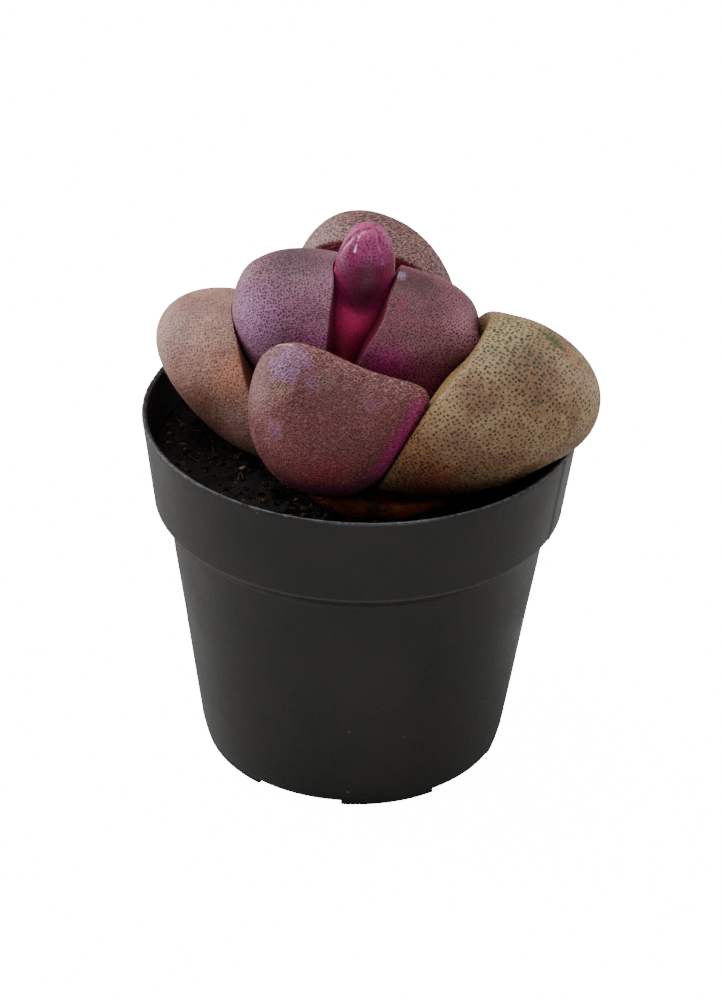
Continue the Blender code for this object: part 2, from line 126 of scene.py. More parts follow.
def makeSpotGroup():
    # pigment dots with one dot to each cell, on a map measured in millimetres
    sockets = [
        ("Vector", "Vector", None),
        ("Spacing", "Float", 1.0),
        ("Size", "Float", 0.2),
        ("Edge", "Float", 0.06),
        ("Missing", "Float", 0.1),
    ]
    group, taken, given = newGroup("pigmentSpots", sockets, [("Mask", "Float")])
    cells = addNode(group, "VectorMath", {0: taken["Vector"]}, operation="SCALE")
    group.links.new(maths(group, "DIVIDE", 1.0, taken["Spacing"]), cells.inputs["Scale"])
    inputs = {"Vector": cells.outputs[0], "Scale": 0.22, "Detail": 1.0}
    drift = addNode(group, "TexNoise", inputs, noise_dimensions="2D").outputs["Color"]
    drift = addNode(group, "VectorMath", {0: drift, 1: (0.5, 0.5, 0.5)}, operation="SUBTRACT").outputs[0]
    inputs = {0: drift, 1: (0.8, 0.8, 0.0), 2: cells.outputs[0]}
    moved = addNode(group, "VectorMath", inputs, operation="MULTIPLY_ADD").outputs[0]
    inputs = {"Vector": moved, "Scale": 1.0, "Randomness": 0.64}
    dots = addNode(group, "TexVoronoi", inputs, voronoi_dimensions="2D")
    parts = addNode(group, "SeparateColor", {0: dots.outputs["Color"]})
    radius = maths(group, "MULTIPLY", step(group, parts.outputs[0], 0.0, 1.0, 0.78, 1.22), taken["Size"])
    inputs = {"Value": dots.outputs["Distance"], "From Min": maths(group, "ADD", radius, taken["Edge"])}
    inputs["From Max"] = maths(group, "SUBTRACT", radius, taken["Edge"])
    mask = addNode(group, "MapRange", inputs, interpolation_type="SMOOTHSTEP").outputs["Result"]
    kept = maths(group, "GREATER_THAN", parts.outputs[1], taken["Missing"])
    strength = step(group, parts.outputs[2], 0.0, 1.0, 0.75, 1.0)
    mask = maths(group, "MULTIPLY", maths(group, "MULTIPLY", mask, kept), strength)
    group.links.new(mask, given["Mask"])
    return group


def makePatchGroup():
    # soft blotch round a point, with a ragged edge
    sockets = [
        ("Vector", "Vector", None),
        ("Centre", "Vector", None),
        ("Stretch", "Vector", (1.0, 1.0, 1.0)),
        ("Radius", "Float", 0.005),
        ("Ragged", "Float", 0.35),
        ("Soft", "Float", 0.6),
    ]
    group, taken, given = newGroup("blotch", sockets, [("Mask", "Float")])
    away = addNode(group, "VectorMath", {0: taken["Vector"], 1: taken["Centre"]}, operation="SUBTRACT")
    inputs = {0: away.outputs[0], 1: taken["Stretch"]}
    away = addNode(group, "VectorMath", inputs, operation="DIVIDE").outputs[0]
    distance = addNode(group, "VectorMath", {0: away}, operation="LENGTH").outputs["Value"]
    share = maths(group, "DIVIDE", distance, taken["Radius"])
    wave = maths(group, "SUBTRACT", noiseOf(group, taken["Vector"], 420.0, 4.0, 0.6), 0.5)
    share = maths(group, "ADD", share, maths(group, "MULTIPLY", wave, taken["Ragged"]))
    inputs = {"Value": share, "From Min": 1.0, "From Max": maths(group, "SUBTRACT", 1.0, taken["Soft"])}
    mask = addNode(group, "MapRange", inputs, interpolation_type="SMOOTHSTEP").outputs["Result"]
    group.links.new(mask, given["Mask"])
    return group


def makeSkinGroup():
    # height of a leaf's skin: broad unevenness, fine bumps and pores
    sockets = [("Vector", "Vector", None), ("Spots", "Float", 0.0), ("Roughness", "Float", 1.0)]
    group, taken, given = newGroup("skinRelief", sockets, [("Height", "Float"), ("Bloom", "Float")])
    broad = noiseOf(group, taken["Vector"], 160.0, 2.0)
    fine = noiseOf(group, taken["Vector"], 1300.0, 3.0, 0.6)
    inputs = {"Vector": taken["Vector"], "Scale": 2600.0, "Smoothness": 0.6}
    pores = addNode(group, "TexVoronoi", inputs, feature="SMOOTH_F1").outputs["Distance"]
    height = maths(group, "MULTIPLY", broad, 0.9)
    grain = maths(group, "ADD", maths(group, "MULTIPLY", fine, 0.35), maths(group, "MULTIPLY", pores, 0.12))
    height = maths(group, "ADD", height, maths(group, "MULTIPLY", grain, taken["Roughness"]))
    height = maths(group, "SUBTRACT", height, maths(group, "MULTIPLY", taken["Spots"], 0.07))
    group.links.new(height, given["Height"])
    group.links.new(step(group, noiseOf(group, taken["Vector"], 700.0, 5.0, 0.7), 0.35, 0.7), given["Bloom"])
    return group


def makeStrokeGroup():
    # a soft line between two points
    sockets = [
        ("Vector", "Vector", None),
        ("From", "Vector", None),
        ("To", "Vector", None),
        ("Width", "Float", 0.0005),
        ("Ragged", "Float", 0.3),
    ]
    group, taken, given = newGroup("stroke", sockets, [("Mask", "Float")])
    along = addNode(group, "VectorMath", {0: taken["To"], 1: taken["From"]}, operation="SUBTRACT").outputs[0]
    away = addNode(group, "VectorMath", {0: taken["Vector"], 1: taken["From"]}, operation="SUBTRACT").outputs[0]
    reach = addNode(group, "VectorMath", {0: away, 1: along}, operation="DOT_PRODUCT").outputs["Value"]
    whole = addNode(group, "VectorMath", {0: along, 1: along}, operation="DOT_PRODUCT").outputs["Value"]
    share = addNode(group, "Clamp", {"Value": maths(group, "DIVIDE", reach, whole)}).outputs[0]
    nearest = addNode(group, "VectorMath", {0: along}, operation="SCALE")
    group.links.new(share, nearest.inputs["Scale"])
    inputs = {0: away, 1: nearest.outputs[0]}
    away = addNode(group, "VectorMath", inputs, operation="SUBTRACT").outputs[0]
    distance = addNode(group, "VectorMath", {0: away}, operation="LENGTH").outputs["Value"]
    wave = maths(group, "SUBTRACT", noiseOf(group, taken["Vector"], 900.0, 3.0, 0.6), 0.5)
    wave = maths(group, "MULTIPLY", wave, taken["Ragged"])
    share = maths(group, "ADD", maths(group, "DIVIDE", distance, taken["Width"]), wave)
    group.links.new(step(group, share, 1.0, 0.35), given["Mask"])
    return group


spotGroup = makeSpotGroup()
strokeGroup = makeStrokeGroup()
patchGroup = makePatchGroup()
skinGroup = makeSkinGroup()
print("shared effects made")


# Meshes

def link(name, mesh):
    thing = bpy.data.objects.new(name, mesh)
    bpy.context.scene.collection.objects.link(thing)
    return thing


def mergedCopy(node):
    # the solid's triangles as one closed skin, paired up into quads again
    shape = bmesh.new()
    shape.from_mesh(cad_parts[node].data)
    for layer in list(shape.loops.layers.uv):
        shape.loops.layers.uv.remove(layer)
    bmesh.ops.remove_doubles(shape, verts=shape.verts, dist=1e-6)
    for face in shape.faces:
        face.smooth = True
    bmesh.ops.join_triangles(
        shape,
        faces=shape.faces,
        angle_face_threshold=math.radians(40),
        angle_shape_threshold=math.radians(70),
    )
    return shape


def finish(name, shape, materials, node):
    mesh = bpy.data.meshes.new(name)
    shape.to_mesh(mesh)
    shape.free()
    for material in materials:
        mesh.materials.append(material)
    thing = link(name, mesh)
    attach(thing, "root")
    if node:
        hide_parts(node)
    return thing


def subdivide(thing, levels):
    smoother = thing.modifiers.new("smoother", "SUBSURF")
    smoother.levels = levels
    smoother.render_levels = levels
    return smoother


# Leaves

def leafWay(look):
    # direction that a leaf's flat face looks in
    azimuth, tilt = math.radians(look["azimuth"]), math.radians(look["tilt"])
    out = Vector((math.cos(azimuth), math.sin(azimuth), 0.0))
    return -out * math.cos(tilt) + Vector((0.0, 0.0, math.sin(tilt)))


def chartOf(face, way):
    # 0 for the flat face, 1 for the visible back, 2 for the underside
    if face.normal.dot(way) > 0.72:
        return 0
    return 2 if face.normal.z < -0.5 else 1


def markRim(shape, way):
    # seams between the charts, and the distance of every point from the leaf's rim
    charts = {face: chartOf(face, way) for face in shape.faces}
    rim = []
    for edge in shape.edges:
        kinds = {charts[face] for face in edge.link_faces}
        edge.seam = len(kinds) > 1
        if len(kinds) > 1 and 0 in kinds:
            rim.append((edge.verts[0].co + edge.verts[1].co) / 2)
    tree = KDTree(len(rim))
    for index, point in enumerate(rim):
        tree.insert(point, index)
    tree.balance()
    margin = shape.verts.layers.float.new("margin")
    onFace = shape.verts.layers.float.new("onFace")
    for vertex in shape.verts:
        vertex[margin] = tree.find(vertex.co)[2] / mm
        vertex[onFace] = max(0.0, min(1.0, (vertex.normal.dot(way) - 0.55) / 0.3))
    return charts


def pushForm(shape, pushes):
    # smooth local shifts of the form: middle, reach and shift in millimetres
    for middle, reach, shift in pushes:
        middle, shift = Vector(middle) * mm, Vector(shift) * mm
        for vertex in shape.verts:
            share = (vertex.co - middle).length / (reach * mm)
            if share < 1.0:
                vertex.co += shift * (1.0 - share * share) ** 2


def softenRim(shape, reach):
    # round the rim off over a reach in millimetres
    margin = shape.verts.layers.float["margin"]
    near = [vertex for vertex in shape.verts if vertex[margin] < reach]
    for _ in range(round(reach)):
        bmesh.ops.smooth_vert(shape, verts=near, factor=0.5, use_axis_x=True, use_axis_y=True, use_axis_z=True)


def layOutSkin(thing, way):
    # a map of the skin in millimetres, so that the dots keep their size and follow the surface
    bpy.context.view_layer.objects.active = thing
    thing.select_set(True)
    bpy.ops.object.mode_set(mode="EDIT")
    bpy.ops.mesh.select_all(action="SELECT")
    bpy.ops.uv.unwrap(method="MINIMUM_STRETCH", margin=0.0)
    bpy.ops.object.mode_set(mode="OBJECT")
    thing.select_set(False)
    shape = bmesh.new()
    shape.from_mesh(thing.data)
    layer = shape.loops.layers.uv.active
    areas = {}
    for face in shape.faces:
        chart = chartOf(face, way)
        flat = [loop[layer].uv for loop in face.loops]
        area = 0.5 * abs(sum(a.cross(b) for a, b in zip(flat, flat[1:] + flat[:1])))
        real, mapped = areas.get(chart, (0.0, 0.0))
        areas[chart] = (real + face.calc_area(), mapped + area)
    for face in shape.faces:
        real, mapped = areas[chartOf(face, way)]
        scale = math.sqrt(real / mapped) / mm
        for loop in face.loops:
            loop[layer].uv = loop[layer].uv * scale
    shape.to_mesh(thing.data)
    shape.free()


def drawStrokes(tree, place, colour, strokes):
    for shade, start, end, width, strength in strokes:
        inputs = {"Vector": place, "From": [value * mm for value in start], "Width": width * mm}
        inputs.update({"To": [value * mm for value in end], "Ragged": 0.9})
        mask = placeGroup(tree, strokeGroup, inputs).outputs["Mask"]
        colour = mixColour(tree, maths(tree, "MULTIPLY", mask, strength), colour, tint(*shade))
    return colour


def leafSkin(name, look):
    material, tree, shader = newMaterial(name, look["gloss"], 0.35)
    place = placeOf(tree)
    surface = addNode(tree, "UVMap", uv_map="skin").outputs["UV"]
    margin = addNode(tree, "Attribute", attribute_name="margin").outputs["Fac"]
    onFace = addNode(tree, "Attribute", attribute_name="onFace").outputs["Fac"]
    # ground colour, mottled at three sizes
    mottle = step(tree, noiseOf(tree, place, 130.0, 5.0, 0.6, 0.4), 0.36, 0.64)
    colour = mixColour(tree, mottle, tint(*look["skin"][0]), tint(*look["skin"][1]))
    # broad soft patches of colour: mostly the leaf's own tones, and some painted shade, darker low down near the soil
    # and on some tops
    for shade, centre, radius, strength in look["shades"]:
        inputs = {"Vector": place, "Centre": [value * mm for value in centre], "Radius": radius * mm}
        inputs.update({"Soft": 0.95, "Ragged": 0.5})
        mask = placeGroup(tree, patchGroup, inputs).outputs["Mask"]
        colour = mixColour(tree, maths(tree, "MULTIPLY", mask, strength), colour, tint(*shade))
    for shade, centre, radius, strength in look["patches"]:
        inputs = {"Vector": place, "Centre": [value * mm for value in centre], "Radius": radius * mm}
        inputs.update({"Soft": 0.4, "Ragged": 1.5})
        mask = placeGroup(tree, patchGroup, inputs).outputs["Mask"]
        colour = mixColour(tree, maths(tree, "MULTIPLY", mask, strength), colour, tint(*shade))
    colour = drawStrokes(tree, place, colour, look["strokes"])
    grain = step(tree, noiseOf(tree, place, 1500.0, 4.0, 0.7), 0.3, 0.7, 0.82, 1.16)
    grain = addNode(tree, "CombineColor", {0: grain, 1: grain, 2: grain}).outputs[0]
    colour = mixColour(tree, 1.0, colour, grain, "MULTIPLY")
    # the rim: a paler or coloured line just at the edge, partly the margin's own colour and partly painted highlight
    # where the rounded margin catches light
    rim = step(tree, margin, look["rimWidth"], 0.0)
    colour = mixColour(tree, maths(tree, "MULTIPLY", rim, look["rimStrength"]), colour, tint(*look["rim"]))
    # short pale streaks that run in from the rim
    streaks = addNode(tree, "Mapping", {"Vector": surface, "Scale": look["streaks"]["scale"]})
    streaks.inputs["Rotation"].default_value = (0.0, 0.0, math.radians(look["streaks"]["turn"]))
    streaks = step(tree, noiseOf(tree, streaks.outputs[0], 1.0, 2.0, 0.5), 0.5, 0.62)
    nearRim = step(tree, margin, look["streaks"]["reach"], 0.5, look["streaks"]["inside"], 1.0)
    share = maths(tree, "MULTIPLY", maths(tree, "MULTIPLY", streaks, nearRim), look["streaks"]["strength"])
    colour = mixColour(tree, share, colour, tint(*look["streaks"]["colour"]))
    # the flat inner face
    colour = mixColour(tree, maths(tree, "MULTIPLY", onFace, 0.9), colour, tint(*look["face"]))
    # dots
    spots = look["spots"]
    turned = addNode(tree, "Mapping", {"Vector": surface, "Scale": spots["stretch"]})
    turned.inputs["Rotation"].default_value = (0.0, 0.0, math.radians(spots["turn"]))
    masks = []
    centre, radius, extra = spots["swell"]
    inputs = {"Vector": place, "Centre": [value * mm for value in centre], "Radius": radius * mm, "Soft": 0.9}
    swell = maths(tree, "MULTIPLY", placeGroup(tree, patchGroup, inputs).outputs["Mask"], extra)
    for layer in spots["layers"]:
        size = maths(tree, "ADD", swell, layer["size"])
        inputs = {"Vector": turned.outputs[0], "Spacing": layer["spacing"], "Size": size}
        inputs.update({"Edge": layer["edge"], "Missing": layer["missing"]})
        mask = placeGroup(tree, spotGroup, inputs).outputs["Mask"]
        mask = maths(tree, "MULTIPLY", mask, layer["strength"])
        colour = mixColour(tree, mask, colour, tint(*layer["colour"]))
        masks.append(mask)
    tree.links.new(colour, shader.inputs["Base Color"])
    inputs = {"Vector": place, "Spots": masks[0], "Roughness": look["grain"]}
    relief = placeGroup(tree, skinGroup, inputs)
    bump = addNode(tree, "Bump", {"Strength": 1.0, "Distance": look["relief"] * mm})
    tree.links.new(relief.outputs["Height"], bump.inputs["Height"])
    tree.links.new(bump.outputs[0], shader.inputs["Normal"])
    roughness = step(tree, relief.outputs["Bloom"], 0.0, 1.0, look["gloss"] - 0.07, look["gloss"] + 0.1)
    tree.links.new(roughness, shader.inputs["Roughness"])
    return material


leafLooks = {
    "outer_leaf_right": {
        "azimuth": -17.9,
        "tilt": 27.0,
        "skin": [(168, 138, 100), (130, 94, 70)],
        "shades": [
            ((172, 156, 108), (27, -14, 103.5), 14, 0.8),
            ((116, 84, 62), (33, -22, 99), 13, 0.75),
            ((150, 88, 56), (9, -29, 86), 12, 0.8),
            # painted shade: the bottom of the leaf near the soil, darker where shade falls
            ((84, 38, 24), (12, -28, 74), 14, 0.95),
            ((124, 84, 64), (29, -28, 84), 11, 0.6),
            # the leaf's reddish-brown, with painted shade darkening its bottom
            ((112, 50, 36), (14, -30, 80), 8, 0.65),
            ((178, 146, 112), (46, -14, 92), 9, 0.6),
        ],
        "patches": [
            ((96, 98, 40), (38.0, -11.0, 101.0), 2.6, 0.75),
            ((112, 86, 66), (34.0, -18.0, 101.5), 3.4, 0.5),
            ((190, 120, 50), (24.2, -5.8, 102.0), 0.8, 0.9),
            ((140, 60, 44), (17.0, -29.5, 80.0), 4.5, 0.4),
            ((120, 90, 74), (26.0, -25.0, 95.0), 3.4, 0.5),
            ((150, 122, 104), (22.0, -27.0, 90.0), 3.0, 0.4),
            ((112, 74, 56), (38.0, -24.0, 88.0), 3.6, 0.4),
            ((140, 96, 66), (45.0, -16.0, 95.0), 2.6, 0.4),
        ],
        "strokes": [
            ((56, 70, 20), (35.0, -9.6, 102.2), (40.0, -12.4, 100.0), 1.2, 0.8),
            ((186, 104, 40), (37.8, -12.6, 100.6), (38.4, -13.0, 100.3), 0.5, 0.9),
            ((186, 104, 52), (41.0, -12.0, 99.4), (43.4, -14.6, 97.4), 0.9, 0.8),
            ((178, 108, 50), (39.0, -24.4, 81.0), (39.8, -24.0, 81.0), 0.6, 0.8),
        ],
        "streaks": {
            "scale": (2.6, 0.9, 1.0), "turn": 30.0, "reach": 9.0, "inside": 0.5,
            "strength": 0.3, "colour": (190, 160, 120),
        },
        "pushes": [
            ((19.5, -21, 101.5), 10, (2.8, 1.6, -0.2)),
            ((22.5, -9, 97.5), 9, (3.2, 0.5, 0)),
        ],
        "rim": (196, 158, 110),
        "rimWidth": 2.2,
        "rimStrength": 0.45,
        "face": (150, 116, 76),
        "spots": {
            "turn": 0.0,
            "stretch": (1.0, 1.0, 1.0),
            "swell": ((29, -13, 102), 17, 0.1),
            "layers": [
                {"spacing": 0.94, "size": 0.25, "edge": 0.08, "missing": 0.03, "strength": 0.97, "colour": (18, 46, 30)},
                {"spacing": 0.5, "size": 0.22, "edge": 0.12, "missing": 0.45, "strength": 0.35, "colour": (96, 66, 50)},
            ],
        },
        "gloss": 0.5,
        "grain": 1.0,
        "relief": 0.45,
        "softRim": 6.0,
    },
    "outer_leaf_left": {
        "azimuth": 173.8,
        "tilt": 22.2,
        "skin": [(174, 130, 116), (142, 98, 88)],
        "shades": [
            ((192, 122, 96), (-26, -10, 90), 8, 0.8),
            ((88, 44, 34), (-32, -7, 79), 10, 0.85),
            ((150, 98, 90), (-38, -2, 90), 6, 0.5),
            ((196, 166, 148), (-43, 5, 88), 8, 0.7),
            ((100, 56, 48), (-22, -8, 71), 9, 0.7),
        ],
        "patches": [
            ((124, 66, 46), (-33.0, -8.0, 84.0), 3.6, 0.55),
            ((134, 92, 108), (-26.0, -12.0, 80.0), 3.0, 0.45),
            ((150, 88, 80), (-40.0, -2.0, 97.0), 3.6, 0.5),
            ((126, 108, 92), (-37.0, 0.0, 101.0), 3.2, 0.4),
            ((200, 130, 100), (-27.0, -8.0, 97.0), 3.0, 0.45),
            ((120, 60, 50), (-29.0, -10.0, 78.0), 2.6, 0.5),
        ],
        "strokes": [((200, 118, 40), (-25.2, -7.6, 93.6), (-25.0, -8.6, 91.6), 0.6, 0.9)],
        "streaks": {
            "scale": (2.4, 1.0, 1.0), "turn": -20.0, "reach": 6.0, "inside": 0.5,
            "strength": 0.25, "colour": (206, 176, 160),
        },
        "pushes": [((-30, -1, 103.5), 10, (1.0, 0, 1.5))],
        "rim": (196, 140, 104),
        "rimWidth": 1.6,
        "rimStrength": 0.4,
        "face": (112, 54, 34),
        "spots": {
            "turn": 20.0,
            "stretch": (1.0, 1.0, 1.0),
            "swell": ((-40, 2, 92), 10, 0.03),
            "layers": [
                {"spacing": 0.66, "size": 0.25, "edge": 0.1, "missing": 0.04, "strength": 0.95, "colour": (46, 52, 44)},
                {"spacing": 0.45, "size": 0.22, "edge": 0.12, "missing": 0.45, "strength": 0.4, "colour": (120, 70, 60)},
            ],
        },
        "gloss": 0.52,
        "grain": 1.0,
        "relief": 0.45,
        "softRim": 0.0,
    },
    "front_leaf": {
        "azimuth": -106.2,
        "tilt": 18.7,
        "skin": [(128, 66, 66), (104, 44, 50)],
        "shades": [
            ((112, 50, 58), (-4, -32, 92), 12, 0.6),
            ((144, 100, 102), (-20, -24, 94), 7, 0.7),
            # painted shade: the upper part darkened
            ((96, 46, 50), (-4, -28.5, 98), 9, 0.7),
            ((136, 32, 50), (-6, -33, 81), 9, 0.8),
            ((176, 34, 112), (9, -28, 86), 7, 0.9),
            # painted shade: darker at the bottom where the leaf curves under towards the soil
            ((70, 20, 44), (-6, -31, 74), 8, 0.9),
        ],
        "patches": [
            ((142, 96, 138), (-14.2, -24.6, 100.6), 5.0, 0.75),
            ((132, 84, 124), (-9.4, -27.0, 98.4), 2.6, 0.55),
            ((134, 96, 74), (-15.4, -27.0, 97.0), 2.4, 0.6),
            ((134, 80, 120), (-16.3, -30.3, 89.4), 2.4, 0.5),
            ((130, 76, 112), (2.0, -29.6, 95.5), 1.8, 0.45),
            ((122, 92, 84), (-6.5, -27.5, 100.0), 2.6, 0.5),
        ],
        "strokes": [
            ((176, 30, 112), (11.5, -26.0, 93.0), (3.5, -28.6, 78.0), 3.6, 0.8),
            ((88, 26, 66), (3.5, -28.6, 77.5), (-12.0, -31.0, 77.0), 2.6, 0.7),
            ((178, 110, 150), (12.6, -25.0, 91.0), (5.0, -27.0, 77.4), 0.8, 0.6),
            ((150, 106, 134), (-19.6, -22.0, 96.0), (-20.6, -25.0, 84.0), 0.8, 0.6),
            ((236, 206, 130), (-16.6, -19.7, 102.7), (-13.6, -21.6, 103.8), 0.3, 0.9),
            ((190, 110, 118), (-10.6, -32.9, 81.6), (-9.6, -32.9, 80.9), 0.22, 0.8),
            ((190, 110, 118), (-5.2, -33.0, 81.4), (-4.4, -33.0, 80.6), 0.22, 0.8),
        ],
        "streaks": {
            "scale": (3.0, 0.9, 1.0), "turn": 10.0, "reach": 7.0, "inside": 0.25,
            "strength": 0.7, "colour": (184, 144, 134),
        },
        "pushes": [((10, -26.5, 94), 8, (3.2, 1.0, 1.2))],
        "rim": (178, 128, 138),
        "rimWidth": 0.9,
        "rimStrength": 0.6,
        "face": (92, 34, 48),
        "spots": {
            "turn": 12.0,
            "stretch": (1.15, 0.85, 1.0),
            "swell": ((-14, -27, 97), 9, 0.05),
            "layers": [
                {"spacing": 0.54, "size": 0.27, "edge": 0.11, "missing": 0.06, "strength": 0.95, "colour": (34, 24, 28)},
                {"spacing": 0.4, "size": 0.24, "edge": 0.12, "missing": 0.5, "strength": 0.4, "colour": (168, 118, 112)},
            ],
        },
        "gloss": 0.5,
        "grain": 1.4,
        "relief": 0.7,
        "softRim": 0.0,
    },
    "rear_leaf": {
        "azimuth": 72.7,
        "tilt": -2.1,
        "skin": [(140, 96, 92), (118, 74, 74)],
        "shades": [
            ((126, 80, 84), (14, 22, 100), 12, 0.6),
            ((172, 140, 136), (-8, 22, 104), 9, 0.6),
        ],
        "patches": [],
        "strokes": [],
        "streaks": {
            "scale": (3.0, 0.8, 1.0), "turn": 40.0, "reach": 12.0, "inside": 0.8,
            "strength": 0.5, "colour": (178, 146, 138),
        },
        "pushes": [],
        "rim": (180, 150, 140),
        "rimWidth": 1.4,
        "rimStrength": 0.4,
        "face": (130, 26, 44),
        "spots": {
            "turn": 35.0,
            "stretch": (1.3, 0.75, 1.0),
            "swell": ((0, 22, 108), 9, 0.04),
            "layers": [
                {"spacing": 0.68, "size": 0.34, "edge": 0.1, "missing": 0.02, "strength": 1.0, "colour": (28, 24, 24)},
                {"spacing": 0.42, "size": 0.22, "edge": 0.12, "missing": 0.4, "strength": 0.35, "colour": (112, 66, 68)},
            ],
        },
        "gloss": 0.55,
        "grain": 1.2,
        "relief": 0.45,
        "softRim": 0.0,
    },
    "inner_leaf_left": {
        "azimuth": 174.4,
        "tilt": -1.6,
        "skin": [(160, 106, 128), (138, 84, 106)],
        "shades": [
            ((170, 116, 164), (-22, -6, 101), 11, 0.8),
            # painted shade: the top darkened against the strong overhead light
            ((92, 62, 68), (-14, 3, 111), 13, 0.85),
            ((206, 84, 166), (-9, -11, 95), 9, 0.8),
        ],
        "patches": [],
        "strokes": [],
        "streaks": {
            "scale": (2.4, 1.4, 1.0), "turn": 0.0, "reach": 6.0, "inside": 0.4,
            "strength": 0.25, "colour": (186, 140, 166),
        },
        "pushes": [((-21, 0, 108.5), 8, (-1.4, 0, 1.0))],
        "rim": (190, 60, 140),
        "rimWidth": 1.0,
        "rimStrength": 0.5,
        "face": (110, 14, 52),
        "spots": {
            "turn": -15.0,
            "stretch": (1.0, 1.0, 1.0),
            "swell": ((-16, 2, 110), 10, 0.06),
            "layers": [
                {"spacing": 0.57, "size": 0.28, "edge": 0.1, "missing": 0.02, "strength": 1.0, "colour": (18, 20, 26)},
                {"spacing": 0.42, "size": 0.2, "edge": 0.12, "missing": 0.45, "strength": 0.3, "colour": (100, 60, 84)},
            ],
        },
        "gloss": 0.48,
        "grain": 1.0,
        "relief": 0.4,
        "softRim": 0.0,
    },
    "inner_leaf_right": {
        "azimuth": -9.2,
        "tilt": 20.2,
        "skin": [(140, 82, 92), (116, 62, 72)],
        "shades": [
            ((76, 36, 42), (10, -2, 107), 10, 0.8),
            ((168, 112, 124), (20, -8, 100), 7, 0.7),
            ((196, 44, 140), (5, -13, 95), 8, 0.85),
            ((176, 60, 120), (13, -12, 90), 8, 0.7),
        ],
        "patches": [
            ((176, 140, 190), (6.5, 0.0, 108.9), 2.2, 0.85),
            ((134, 34, 70), (7.5, -7.6, 106.6), 1.8, 0.6),
        ],
        "strokes": [],
        "streaks": {
            "scale": (2.4, 1.4, 1.0), "turn": 0.0, "reach": 6.0, "inside": 0.4,
            "strength": 0.25, "colour": (170, 124, 132),
        },
        "pushes": [
            ((14, -9, 88), 9, (1.5, -1.5, -4.5)),
            ((19, -9, 97.5), 9, (3.2, -1.5, 0)),
            ((4.2, -9.5, 102.5), 7.5, (1.3, 0.3, 0)),
        ],
        "rim": (170, 40, 110),
        "rimWidth": 1.0,
        "rimStrength": 0.5,
        "face": (110, 14, 44),
        "spots": {
            "turn": 25.0,
            "stretch": (1.0, 1.0, 1.0),
            "swell": ((8, 0, 108), 9, 0.05),
            "layers": [
                {"spacing": 0.56, "size": 0.28, "edge": 0.1, "missing": 0.02, "strength": 1.0, "colour": (18, 18, 22)},
                {"spacing": 0.42, "size": 0.2, "edge": 0.12, "missing": 0.45, "strength": 0.3, "colour": (96, 56, 78)},
            ],
        },
        "gloss": 0.48,
        "grain": 1.0,
        "relief": 0.4,
        "softRim": 0.0,
    },
}


def addLeaf(node, look):
    way = leafWay(look)
    shape = mergedCopy(node)
    markRim(shape, way)
    pushForm(shape, look["pushes"])
    softenRim(shape, look["softRim"])
    shape.loops.layers.uv.new("skin")
    name = node.replace("_", "-") + "-skin"
    thing = finish(name, shape, [leafSkin(name, look)], node)
    layOutSkin(thing, way)
    subdivide(thing, 2)
    return thing


for node, look in leafLooks.items():
    addLeaf(node, look)
print("leaves grown")


# Flower bud

budLook = {
    "head": (126, 28, 74),
    "top": (176, 76, 128),
    "foot": (255, 74, 140),
    "turns": (98.0, 106.5),  # heights in millimetres between which foot becomes head
    "paling": (110.5, 118.0),
    "shades": [
        ((66, 0, 30), (0.6, -5.2, 106.6), 6.5, 0.9),
        ((255, 120, 128), (-4.8, -2.8, 94.0), 4.4, 0.5),
        ((128, 84, 120), (-4.4, -3.6, 112.2), 2.6, 0.5),
        ((98, 36, 58), (0.4, -4.6, 110.8), 4.6, 0.75),
        ((150, 104, 150), (3.6, -3.2, 113.2), 1.3, 0.5),
    ],
    "strokes": [
        ((120, 6, 30), (3.2, -3.9, 110.9), (3.3, -3.8, 110.3), 0.45, 0.9),
        ((204, 50, 130), (-6.0, -0.6, 110.0), (-5.4, -2.0, 101.0), 0.7, 0.7),
        ((190, 128, 70), (5.9, 0.2, 113.0), (5.9, -0.2, 106.0), 0.7, 0.7),
        ((196, 150, 60), (5.8, -2.9, 105.2), (4.0, -3.9, 101.8), 0.8, 0.85),
        ((190, 120, 60), (4.0, -3.9, 101.8), (1.4, -4.0, 98.8), 0.8, 0.6),
        ((96, 20, 20), (4.0, -1.6, 101.4), (2.2, -2.6, 95.0), 1.7, 0.8),
        # painted highlight: a white gloss streak along the ridge of the tip
        ((255, 236, 246), (-2.1, -2.9, 115.3), (-1.2, -1.6, 117.9), 0.34, 0.95),
        # painted highlight: pale lines under the first fold
        ((236, 170, 206), (-5.0, -0.5, 113.6), (-3.3, -1.3, 116.4), 0.3, 0.8),
        ((236, 170, 206), (-3.3, -1.3, 116.4), (-0.4, -1.0, 118.7), 0.3, 0.8),
        ((150, 8, 50), (-3.6, -0.7, 116.8), (0.8, -0.2, 119.2), 0.34, 0.9),
        ((140, 8, 60), (1.9, 0.4, 119.2), (2.8, -1.7, 117.2), 0.34, 0.9),
    ],
    "folds": [
        ((-5.4, 0.4, 112.6), (-5.0, -0.2, 113.9), (-3.4, -1.0, 116.7), (-1.2, -0.9, 118.4), (1.0, -0.2, 119.4)),
        ((1.8, 1.2, 119.4), (1.9, 0.4, 119.3), (2.8, -1.7, 117.3), (3.0, -2.4, 116.2)),
    ],
    "pushes": [((4.4, -2.2, 104.5), 5.0, (1.0, -0.5, -0.4))],
    "axis": 1.0,  # millimetres behind the pot's own axis
    "radius": 5.5,
    "foldReach": 0.95,
    "foldDepth": 0.55,
}


def foldBud(shape):
    # press the edges of the closed sepals into the tip
    for line in budLook["folds"]:
        points = [Vector(point) * mm for point in line]
        for vertex in shape.verts:
            nearest = budLook["foldReach"] * mm
            for start, end in zip(points, points[1:]):
                along = end - start
                share = max(0.0, min(1.0, (vertex.co - start).dot(along) / along.length_squared))
                nearest = min(nearest, (vertex.co - start - along * share).length)
            share = 1.0 - nearest / (budLook["foldReach"] * mm)
            vertex.co -= vertex.normal * budLook["foldDepth"] * mm * share * share
    # a little unevenness, as a swelling bud has
    for vertex in shape.verts:
        vertex.co += vertex.normal * noise.noise(vertex.co * 260.0) * 0.16 * mm


